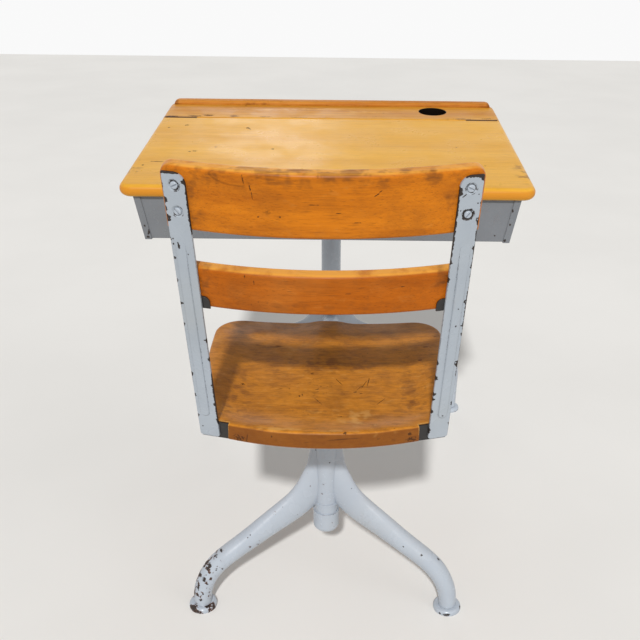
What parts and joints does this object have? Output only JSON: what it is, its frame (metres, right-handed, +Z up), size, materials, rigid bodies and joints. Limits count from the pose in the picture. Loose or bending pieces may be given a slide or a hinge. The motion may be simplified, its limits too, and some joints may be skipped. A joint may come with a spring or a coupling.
{
  "type": "school desk with swivel seat",
  "caption": "One-piece school desk: lift-lid wooden top over a steel book box, and a saddle seat with a slatted back that swivels on its own pedestal.",
  "frame": {"origin": "on the floor under the middle of the desk's outline", "axes": "+Z up, +Y from the seat to the desk, +X on the sitter's right"},
  "size_m": [0.61, 0.8323, 0.7806],
  "materials": {
    "paint": "worn semi-gloss enamel",
    "black_paint": "worn",
    "top_wood": "varnished maple, aged",
    "seat_wood": "varnished, aged",
    "plain_steel": "dull",
    "bush_metal": "plain"
  },
  "bodies": {
    "base": {"rear_sleeve": "paint", "rear_sleeve_cap": "paint", "swivel_collar": "paint", "rear_leg_right": "paint", "rear_leg_left": "paint", "front_leg_right": "paint", "front_leg_left": "paint", "stretcher_tube": "paint", "front_column": "paint", "column_plug": "paint", "desk_bracket": "paint", "book_box_pan": "paint", "end_panel_right": "paint", "end_panel_left": "paint", "rear_foot_right": "paint", "rear_foot_left": "paint", "front_foot_right": "paint", "front_foot_left": "paint", "rear_strip": "top_wood", "back_rail": "top_wood", "thrust_washer": "plain_steel", "bracket_bolts": "plain_steel", "bracket_nuts": "plain_steel", "strip_screws": "plain_steel", "strip_hinge_screws": "plain_steel", "strip_hinge_leaf_right": "plain_steel", "strip_hinge_leaf_left": "plain_steel", "hinge_pin_right": "plain_steel", "hinge_pin_left": "plain_steel", "lower_bush": "bush_metal", "upper_bush": "bush_metal"},
    "lid": {"lid": "top_wood", "lid_hinge_leaf_right": "plain_steel", "lid_hinge_leaf_left": "plain_steel", "lid_hinge_screws": "plain_steel"},
    "seat": {"seat_spindle": "plain_steel", "spindle_washer": "plain_steel", "spindle_nut": "plain_steel", "seat_spider": "paint", "seat": "seat_wood", "seat_screws": "plain_steel", "seat_angle_right": "black_paint", "seat_angle_left": "black_paint", "upright_right": "paint", "upright_left": "paint", "top_slat": "seat_wood", "lower_slat": "seat_wood", "slat_clip_right": "black_paint", "slat_clip_left": "black_paint", "slat_screws": "paint", "clip_rivets": "plain_steel"}
  },
  "joints": [
    {"name": "seat_swivel", "type": "hinge", "parent": "base", "child": "seat", "pos_m": [0, -0.17633, 0.122], "axis": [0, 0, 1], "range_deg": [-45, 45]},
    {"name": "lid_lift", "type": "hinge", "parent": "base", "child": "lid", "pos_m": [0, 0.21624, 0.70192], "axis": [-1, 0, 0], "range_deg": [0, 95]}
  ]
}
